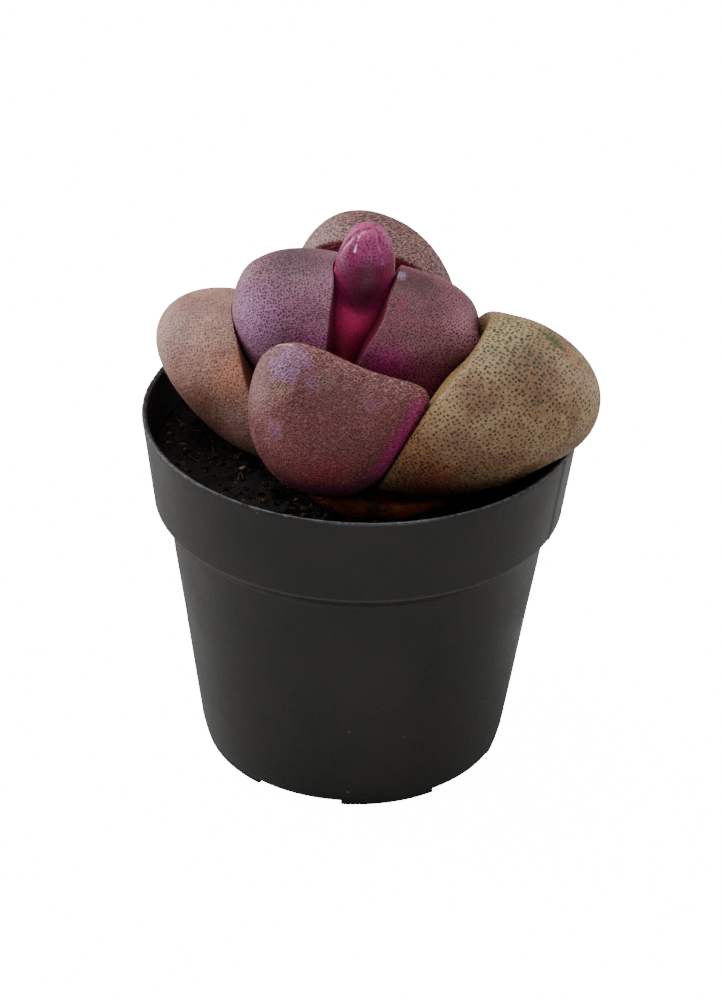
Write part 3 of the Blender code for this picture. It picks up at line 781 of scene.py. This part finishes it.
def budSkin():
    material, tree, shader = newMaterial("budSkin", 0.42, 0.25)
    place = placeOf(tree)
    height = addNode(tree, "SeparateXYZ", {0: place}).outputs
    wave = maths(tree, "MULTIPLY", maths(tree, "SUBTRACT", noiseOf(tree, place, 260.0, 4.0, 0.6), 0.5), 9 * mm)
    level = maths(tree, "ADD", height["Z"], wave)
    low, high = (value * mm for value in budLook["turns"])
    colour = mixColour(tree, step(tree, level, low, high), tint(*budLook["foot"]), tint(*budLook["head"]))
    low, high = (value * mm for value in budLook["paling"])
    colour = mixColour(tree, step(tree, level, low, high), colour, tint(*budLook["top"]))
    for shade, centre, radius, strength in budLook["shades"]:
        inputs = {"Vector": place, "Centre": [value * mm for value in centre], "Radius": radius * mm, "Soft": 0.9}
        mask = placeGroup(tree, patchGroup, inputs).outputs["Mask"]
        colour = mixColour(tree, maths(tree, "MULTIPLY", mask, strength), colour, tint(*shade))
    # dots, strong at the tip and faint on the head
    turn = maths(tree, "ARCTAN2", height["X"], maths(tree, "SUBTRACT", budLook["axis"] * mm, height["Y"]))
    seen = addNode(tree, "CombineXYZ", {0: turn, 1: height["Z"]}).outputs[0]
    seen = addNode(tree, "Mapping", {"Vector": seen, "Scale": (budLook["radius"], 1 / mm, 1.0)}).outputs[0]
    inputs = {"Vector": seen, "Spacing": 0.72, "Size": 0.26, "Edge": 0.12, "Missing": 0.1}
    dots = placeGroup(tree, spotGroup, inputs).outputs["Mask"]
    dots = maths(tree, "MULTIPLY", dots, step(tree, height["Z"], 104 * mm, 114 * mm, 0.12, 0.9))
    colour = mixColour(tree, dots, colour, tint(70, 20, 44))
    # lines and marks, among them painted highlights on the tip's ridge and folds
    colour = drawStrokes(tree, place, colour, budLook["strokes"])
    fine = step(tree, noiseOf(tree, place, 1500.0, 4.0, 0.7), 0.3, 0.7, 0.8, 1.15)
    fine = addNode(tree, "CombineColor", {0: fine, 1: fine, 2: fine}).outputs[0]
    colour = mixColour(tree, 1.0, colour, fine, "MULTIPLY")
    tree.links.new(colour, shader.inputs["Base Color"])
    bump = addNode(tree, "Bump", {"Strength": 1.0, "Distance": 0.14 * mm})
    tree.links.new(noiseOf(tree, place, 1100.0, 4.0), bump.inputs["Height"])
    tree.links.new(bump.outputs[0], shader.inputs["Normal"])
    return material


def addBud():
    shape = mergedCopy("flower_bud")
    bmesh.ops.subdivide_edges(shape, edges=shape.edges, cuts=3, use_grid_fill=True, smooth=1.0)
    bmesh.ops.smooth_vert(shape, verts=shape.verts, factor=0.5, use_axis_x=True, use_axis_y=True, use_axis_z=True)
    pushForm(shape, budLook["pushes"])
    shape.normal_update()
    foldBud(shape)
    bmesh.ops.recalc_face_normals(shape, faces=shape.faces)
    for face in shape.faces:
        face.smooth = True
    thing = finish("flower-bud", shape, [budSkin()], "flower_bud")
    subdivide(thing, 1)
    return thing


addBud()
print("bud set")


# Pot

potLook = {
    "segments": 360,
    "outside": [
        (44.2, 77.3), (44.5, 77.5), (44.85, 77.42), (45.0, 77.1), (44.98, 76.7), (44.86, 76.0),
        (44.4, 72.5), (43.7, 67.0), (42.95, 61.0), (42.58, 58.4), (42.55, 57.9), (42.3, 57.6),
        (41.4, 56.7), (40.2, 55.4), (39.6, 54.8), (39.4, 54.0), (38.2, 45.0), (36.3, 32.0),
        (34.4, 18.0), (32.5, 4.6), (32.0, 2.4), (31.8, 1.6), (31.4, 1.2),
    ],
    "inside": [
        (0.0, 1.2), (0.0, 2.8), (29.4, 2.8), (30.5, 3.8), (38.3, 54.3), (39.6, 56.2), (41.3, 58.4), (43.85, 76.6),
        (43.95, 77.1),
    ],
    "footRing": [(31.5, 1.5), (31.4, 0.3), (31.1, 0.0), (29.0, 0.0), (28.6, 0.4), (28.6, 1.5)],
    "footStart": -92.5,  # degrees
    "footSpan": 37.0,
    "feet": 5,
    "padRadius": 11.0,
    "drains": 6,
    "drainRadius": 3.0,
    "drainCircle": 20.5,
    "seamAngle": -22.0,
    "seamRise": 0.22,
    "lipRough": 0.11,
}


def spinProfile(shape, profile, segments, start=0.0, span=360.0):
    points = [shape.verts.new((radius * mm, 0.0, height * mm)) for radius, height in profile]
    edges = [shape.edges.new(pair) for pair in zip(points, points[1:])]
    whole = span == 360.0
    if not whole:
        edges.append(shape.edges.new((points[-1], points[0])))
        bmesh.ops.contextual_create(shape, geom=edges)
    bmesh.ops.rotate(
        shape, verts=points, cent=(0, 0, 0), matrix=Matrix.Rotation(math.radians(start), 3, "Z")
    )
    geom = points + edges + ([] if whole else [face for face in shape.faces if set(face.verts) == set(points)])
    bmesh.ops.spin(
        shape,
        geom=geom,
        cent=(0, 0, 0),
        axis=(0, 0, 1),
        angle=math.radians(span),
        steps=segments,
        use_merge=whole,
        use_duplicate=False,
    )


def wearLip(shape):
    # uneven moulding flash on the rim, and the raised parting seam on the collar
    for vertex in shape.verts:
        radius = math.hypot(vertex.co.x, vertex.co.y)
        if radius < 40 * mm:
            continue
        out = Vector((vertex.co.x, vertex.co.y, 0.0)).normalized()
        if vertex.co.z > 76.5 * mm:
            rough = noise.fractal(vertex.co * 900.0, 0.8, 2.0, 3) * potLook["lipRough"] * mm
            vertex.co += out * rough * 0.7 + Vector((0, 0, rough))
        turn = math.degrees(math.atan2(vertex.co.y, vertex.co.x)) - potLook["seamAngle"]
        if abs(turn) < 0.6 and 57 * mm < vertex.co.z < 76.8 * mm and radius > 42.4 * mm:
            vertex.co += out * potLook["seamRise"] * mm


def potPlastic():
    material, tree, shader = newMaterial("potPlastic", 0.4, 0.4)
    place = placeOf(tree)
    parts = addNode(tree, "SeparateXYZ", {0: place}).outputs
    cloud = step(tree, noiseOf(tree, place, 45.0, 5.0, 0.6), 0.35, 0.65)
    colour = mixColour(tree, cloud, tint(25, 25, 23), tint(35, 34, 31))
    # dust and scuffs
    scuffs = step(tree, noiseOf(tree, place, 950.0, 6.0, 0.75), 0.62, 0.78)
    colour = mixColour(tree, maths(tree, "MULTIPLY", scuffs, 0.35), colour, tint(84, 80, 72))
    specks = addNode(tree, "TexVoronoi", {"Vector": place, "Scale": 260.0}).outputs
    speck = step(tree, specks["Distance"], 0.1, 0.05)
    rare = maths(tree, "GREATER_THAN", addNode(tree, "SeparateColor", {0: specks["Color"]}).outputs[0], 0.985)
    colour = mixColour(tree, maths(tree, "MULTIPLY", speck, rare), colour, tint(84, 80, 70))
    # painted highlight along the rim's lip, broken up by noise
    lipHighlight = step(tree, parts["Z"], 77.0 * mm, 77.35 * mm)
    lipHighlightBreaks = step(tree, noiseOf(tree, place, 700.0, 5.0, 0.8), 0.42, 0.66, 0.08, 1.0)
    lipHighlight = maths(tree, "MULTIPLY", lipHighlight, lipHighlightBreaks)
    colour = mixColour(tree, lipHighlight, colour, tint(74, 77, 86))
    # painted highlight: a pale line along the collar's lower edge
    line = maths(tree, "MULTIPLY", step(tree, parts["Z"], 57.2 * mm, 57.7 * mm), step(tree, parts["Z"], 58.5 * mm, 57.9 * mm))
    colour = mixColour(tree, maths(tree, "MULTIPLY", line, 0.22), colour, tint(104, 100, 92))
    # dark lines along both edges of the parting seam
    turn = maths(tree, "ARCTAN2", parts["Y"], parts["X"])
    away = maths(tree, "ABSOLUTE", maths(tree, "SUBTRACT", turn, math.radians(potLook["seamAngle"])))
    groove = maths(tree, "MULTIPLY", step(tree, away, 0.008, 0.011), step(tree, away, 0.021, 0.016))
    groove = maths(tree, "MULTIPLY", groove, step(tree, parts["Z"], 57.0 * mm, 57.4 * mm))
    colour = mixColour(tree, maths(tree, "MULTIPLY", groove, 0.85), colour, tint(10, 10, 10))
    tree.links.new(colour, shader.inputs["Base Color"])
    tree.links.new(step(tree, cloud, 0.0, 1.0, 0.36, 0.46), shader.inputs["Roughness"])
    height = maths(tree, "ADD", noiseOf(tree, place, 1400.0, 4.0), maths(tree, "MULTIPLY", noiseOf(tree, place, 90.0, 2.0), 1.5))
    bump = addNode(tree, "Bump", {"Strength": 1.0, "Distance": 0.05 * mm, "Height": height})
    tree.links.new(bump.outputs[0], shader.inputs["Normal"])
    return material


def openDrains(thing):
    shape = bmesh.new()
    for index in range(potLook["drains"]):
        angle = 2 * math.pi * (index + 0.25) / potLook["drains"]
        x, y = math.cos(angle) * potLook["drainCircle"] * mm, math.sin(angle) * potLook["drainCircle"] * mm
        radius = potLook["drainRadius"] * mm
        bmesh.ops.create_cone(
            shape, cap_ends=True, segments=32, radius1=radius, radius2=radius, depth=8 * mm,
            matrix=Matrix.Translation((x, y, 2 * mm)),
        )
    mesh = bpy.data.meshes.new("drains")
    shape.to_mesh(mesh)
    shape.free()
    cutter = link("drains", mesh)
    cut = thing.modifiers.new("drains", "BOOLEAN")
    cut.operation, cut.solver, cut.object = "DIFFERENCE", "EXACT", cutter
    bpy.context.view_layer.objects.active = thing
    bpy.ops.object.modifier_apply(modifier="drains")
    bpy.data.objects.remove(cutter)


def addPot():
    shape = bmesh.new()
    profile = [potLook["inside"][0]] + potLook["outside"][::-1] + potLook["inside"][::-1][:-1]
    spinProfile(shape, profile, potLook["segments"])
    bmesh.ops.remove_doubles(shape, verts=shape.verts, dist=1e-6)
    wearLip(shape)
    bmesh.ops.recalc_face_normals(shape, faces=shape.faces)
    thing = finish("pot-shell", shape, [potPlastic()], "pot")
    openDrains(thing)
    shape = bmesh.new()
    shape.from_mesh(thing.data)
    for index in range(potLook["feet"]):
        start = potLook["footStart"] + index * 360.0 / potLook["feet"]
        spinProfile(shape, potLook["footRing"], 24, start, potLook["footSpan"])
    radius = potLook["padRadius"] * mm
    bmesh.ops.create_cone(
        shape, cap_ends=True, segments=64, radius1=radius, radius2=radius + 0.5 * mm, depth=1.4 * mm,
        matrix=Matrix.Translation((0, 0, 0.7 * mm)),
    )
    bmesh.ops.recalc_face_normals(shape, faces=shape.faces)
    for face in shape.faces:
        face.smooth = True
    for edge in shape.edges:
        edge.smooth = len(edge.link_faces) < 2 or edge.calc_face_angle(0.0) < math.radians(38)
    shape.to_mesh(thing.data)
    shape.free()


addPot()
print("pot turned")


# Soil

soilLook = {
    "seed": 11,
    "top": 68.2,  # millimetres above the floor
    "inner": 41.6,
    "grains": 1500,
    "fibres": 90,
    "lumps": 0.85,
}


def soilMaterial(name, first, second):
    material, tree, shader = newMaterial(name, 0.9, 0.25)
    place = placeOf(tree)
    tone = addNode(tree, "Attribute", attribute_name="tone").outputs["Fac"]
    fine = step(tree, noiseOf(tree, place, 900.0, 5.0, 0.7), 0.35, 0.7)
    colour = mixColour(tree, fine, tint(*first), tint(*second))
    colour = mixColour(tree, step(tree, tone, 0.62, 0.95), colour, tint(92, 64, 38))
    colour = mixColour(tree, step(tree, tone, 0.992, 0.995), colour, tint(140, 118, 92))
    tree.links.new(colour, shader.inputs["Base Color"])
    bump = addNode(tree, "Bump", {"Strength": 1.0, "Distance": 0.3 * mm})
    tree.links.new(noiseOf(tree, place, 1500.0, 6.0, 0.7), bump.inputs["Height"])
    tree.links.new(bump.outputs[0], shader.inputs["Normal"])
    return material


def soilHeight(place):
    wave = noise.fractal(Vector((place.x, place.y, 0.0)) * 260.0, 0.7, 2.1, 4)
    return wave * soilLook["lumps"] * mm


def addSoil():
    shape = mergedCopy("soil")
    for _ in range(2):
        top = {edge for face in shape.faces if face.normal.z > 0.5 and face.calc_center_median().z > 60 * mm
               for edge in face.edges}
        bmesh.ops.subdivide_edges(shape, edges=list(top), cuts=2, use_grid_fill=True)
        shape.normal_update()
    for vertex in shape.verts:
        if vertex.co.z > 60 * mm and vertex.normal.z > 0.6:
            vertex.co.z += soilHeight(vertex.co) - 0.2 * mm
    bmesh.ops.recalc_face_normals(shape, faces=shape.faces)
    finish("soil-bed", shape, [soilMaterial("peat", (7, 5, 4), (20, 14, 11))], "soil")


def scatterPlaces(count, draw, ground, leaves, clear):
    found = []
    while len(found) < count:
        angle, radius = draw.uniform(0, 2 * math.pi), soilLook["inner"] * mm * math.sqrt(draw.random())
        start = Vector((math.cos(angle) * radius, math.sin(angle) * radius, 72 * mm))
        hit, normal, _, distance = ground.ray_cast(start, Vector((0, 0, -1)))
        if hit is None or normal.z < 0.3:
            continue
        if min(leaf.find_nearest(hit)[3] for leaf in leaves) > clear:
            found.append(hit)
    return found


def treeOf(node):
    shape = bmesh.new()
    shape.from_mesh(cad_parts[node].data)
    tree = BVHTree.FromBMesh(shape)
    shape.free()
    return tree


def addGrains():
    draw = random.Random(soilLook["seed"])
    ground = treeOf("soil")
    leaves = [treeOf(node) for node in list(leafLooks) + ["crown", "pot"]]
    shape = bmesh.new()
    tone = shape.verts.layers.float.new("tone")
    for place in scatterPlaces(soilLook["grains"], draw, ground, leaves, 1.1 * mm):
        size = draw.uniform(0.22, 0.5) * mm * draw.choice((1.0, 1.0, 1.0, 1.6))
        turn = Matrix.Rotation(draw.uniform(0, 6.3), 4, "Z") @ Matrix.Rotation(draw.uniform(0, 3.1), 4, "X")
        squash = Matrix.Diagonal((draw.uniform(0.7, 1.4), 1.0, draw.uniform(0.5, 0.9), 1.0))
        place = place + Vector((0, 0, soilHeight(place) - 0.2 * mm + size * 0.3))
        matrix = Matrix.Translation(place) @ turn @ squash
        made = bmesh.ops.create_icosphere(shape, subdivisions=1, radius=size, matrix=matrix)["verts"]
        share = draw.random()
        for vertex in made:
            vertex[tone] = share
    for place in scatterPlaces(soilLook["fibres"], draw, ground, leaves, 2.6 * mm):
        length, thick = draw.uniform(2.0, 4.6) * mm, draw.uniform(0.07, 0.16) * mm
        turn = Matrix.Rotation(draw.uniform(0, 6.3), 4, "Z")
        turn = turn @ Matrix.Rotation(math.radians(draw.uniform(72, 96)), 4, "X")
        place = place + Vector((0, 0, soilHeight(place) + 0.35 * mm))
        made = bmesh.ops.create_cone(
            shape, cap_ends=True, segments=5, radius1=thick, radius2=thick * 0.6, depth=length,
            matrix=Matrix.Translation(place) @ turn,
        )["verts"]
        share = draw.uniform(0.7, 0.999)
        for vertex in made:
            vertex[tone] = share
    bmesh.ops.recalc_face_normals(shape, faces=shape.faces)
    finish("soil-grains", shape, [soilMaterial("peatGrains", (9, 7, 5), (32, 23, 17))], None)


addSoil()
addGrains()
print("soil filled")


# Crown

def crownSkin():
    material, tree, shader = newMaterial("crownSkin", 0.6, 0.35)
    place = placeOf(tree)
    patches = step(tree, noiseOf(tree, place, 210.0, 5.0, 0.65), 0.38, 0.62)
    colour = mixColour(tree, patches, tint(140, 66, 24), tint(62, 28, 16))
    fine = step(tree, noiseOf(tree, place, 1200.0, 4.0, 0.7), 0.5, 0.7)
    colour = mixColour(tree, maths(tree, "MULTIPLY", fine, 0.4), colour, tint(120, 74, 36))
    tree.links.new(colour, shader.inputs["Base Color"])
    bump = addNode(tree, "Bump", {"Strength": 1.0, "Distance": 0.5 * mm})
    tree.links.new(noiseOf(tree, place, 500.0, 5.0, 0.7), bump.inputs["Height"])
    tree.links.new(bump.outputs[0], shader.inputs["Normal"])
    return material


shape = mergedCopy("crown")
crown = finish("crown-tissue", shape, [crownSkin()], "crown")
subdivide(crown, 1)
print("crown set")


# Room

roomLook = {
    "floorHalf": 3.0,  # metres
    "floorColour": (172, 171, 170),
    "floorGlow": 16.0,
    "skyTop": 0.35,
    "skySide": 0.35,
    "skyFront": 0.08,
    "lamps": {
        "overhead": {"place": (-0.25, 0.2, 1.3), "size": (1.4, 1.2), "power": 13.5},
        "left": {"place": (-1.1, 0.45, 0.45), "size": (0.9, 0.9), "power": 18.0},
        "right": {"place": (1.1, 0.45, 0.45), "size": (0.9, 0.9), "power": 6.5},
        "front": {"place": (0.25, -1.1, 0.25), "size": (1.1, 0.5), "power": 4.0},
    },
}


def addFloor():
    shape = bmesh.new()
    bmesh.ops.create_grid(shape, x_segments=1, y_segments=1, size=roomLook["floorHalf"])
    mesh = bpy.data.meshes.new("floor")
    shape.to_mesh(mesh)
    shape.free()
    floor = link("floor", mesh)
    material, tree, shader = newMaterial("floorPaint", 0.7, 0.2)
    place = placeOf(tree)
    first = tint(*roomLook["floorColour"])
    second = tint(*(value - 3 for value in roomLook["floorColour"]))
    tree.links.new(mixColour(tree, noiseOf(tree, place, 8.0), first, second), shader.inputs["Base Color"])
    shader.inputs["Emission Color"].default_value = (1.0, 1.0, 1.0, 1.0)
    seen = addNode(tree, "LightPath").outputs["Is Camera Ray"]  # glows for the eye, lights nothing
    tree.links.new(maths(tree, "MULTIPLY", seen, roomLook["floorGlow"]), shader.inputs["Emission Strength"])
    mesh.materials.append(material)


def addSky():
    # a bright ceiling and back, with a dimmer side towards the photographed front
    world = bpy.data.worlds.new("studio")
    bpy.context.scene.world = world
    world.use_nodes = True
    tree = world.node_tree
    way = addNode(tree, "TexCoord").outputs["Generated"]
    parts = addNode(tree, "SeparateXYZ", {0: way}).outputs
    strength = step(tree, parts["Y"], -0.7, 0.5, roomLook["skyFront"], roomLook["skySide"])
    strength = maths(tree, "ADD", strength, step(tree, parts["Z"], 0.3, 1.0, 0.0, roomLook["skyTop"]))
    background = tree.nodes["Background"]
    background.inputs["Color"].default_value = (1.0, 1.0, 1.0, 1.0)
    tree.links.new(strength, background.inputs["Strength"])


def addLamps():
    for name, look in roomLook["lamps"].items():
        lamp = bpy.data.lights.new(name, "AREA")
        lamp.shape = "RECTANGLE"
        lamp.energy = look["power"]
        lamp.size, lamp.size_y = look["size"]
        thing = bpy.data.objects.new(name, lamp)
        bpy.context.scene.collection.objects.link(thing)
        thing.location = look["place"]
        aim = Vector((0, 0, 0.08)) - thing.location
        thing.rotation_euler = aim.to_track_quat("-Z", "Y").to_euler()


addFloor()
addSky()
addLamps()
print("studio lit")

camera = {
    "place": (0.008608, -0.613063, 0.426235),  # metres
    "pitch": 0.54332,  # radians below level
    "yaw": -0.01312,
    "roll": 0.02962,
    "lens": 123.6,  # millimetres, on a sensor of 36 along the picture's long side
}


def addCamera():
    view = bpy.data.cameras.new("camera")
    view.sensor_fit = "AUTO"
    view.sensor_width = 36.0
    view.lens = camera["lens"]
    view.clip_start, view.clip_end = 0.01, 10.0
    thing = bpy.data.objects.new("camera", view)
    bpy.context.scene.collection.objects.link(thing)
    pitch, yaw, roll = camera["pitch"], camera["yaw"], camera["roll"]
    forward = Vector((math.sin(yaw) * math.cos(pitch), math.cos(yaw) * math.cos(pitch), -math.sin(pitch)))
    level = Vector((math.cos(yaw), -math.sin(yaw), 0.0))
    above = level.cross(forward)
    right = math.cos(roll) * level + math.sin(roll) * above
    up = -math.sin(roll) * level + math.cos(roll) * above
    turn = Matrix((right, up, -forward)).transposed().to_4x4()
    thing.matrix_world = Matrix.Translation(camera["place"]) @ turn
    bpy.context.scene.camera = thing


addCamera()
print("camera placed")
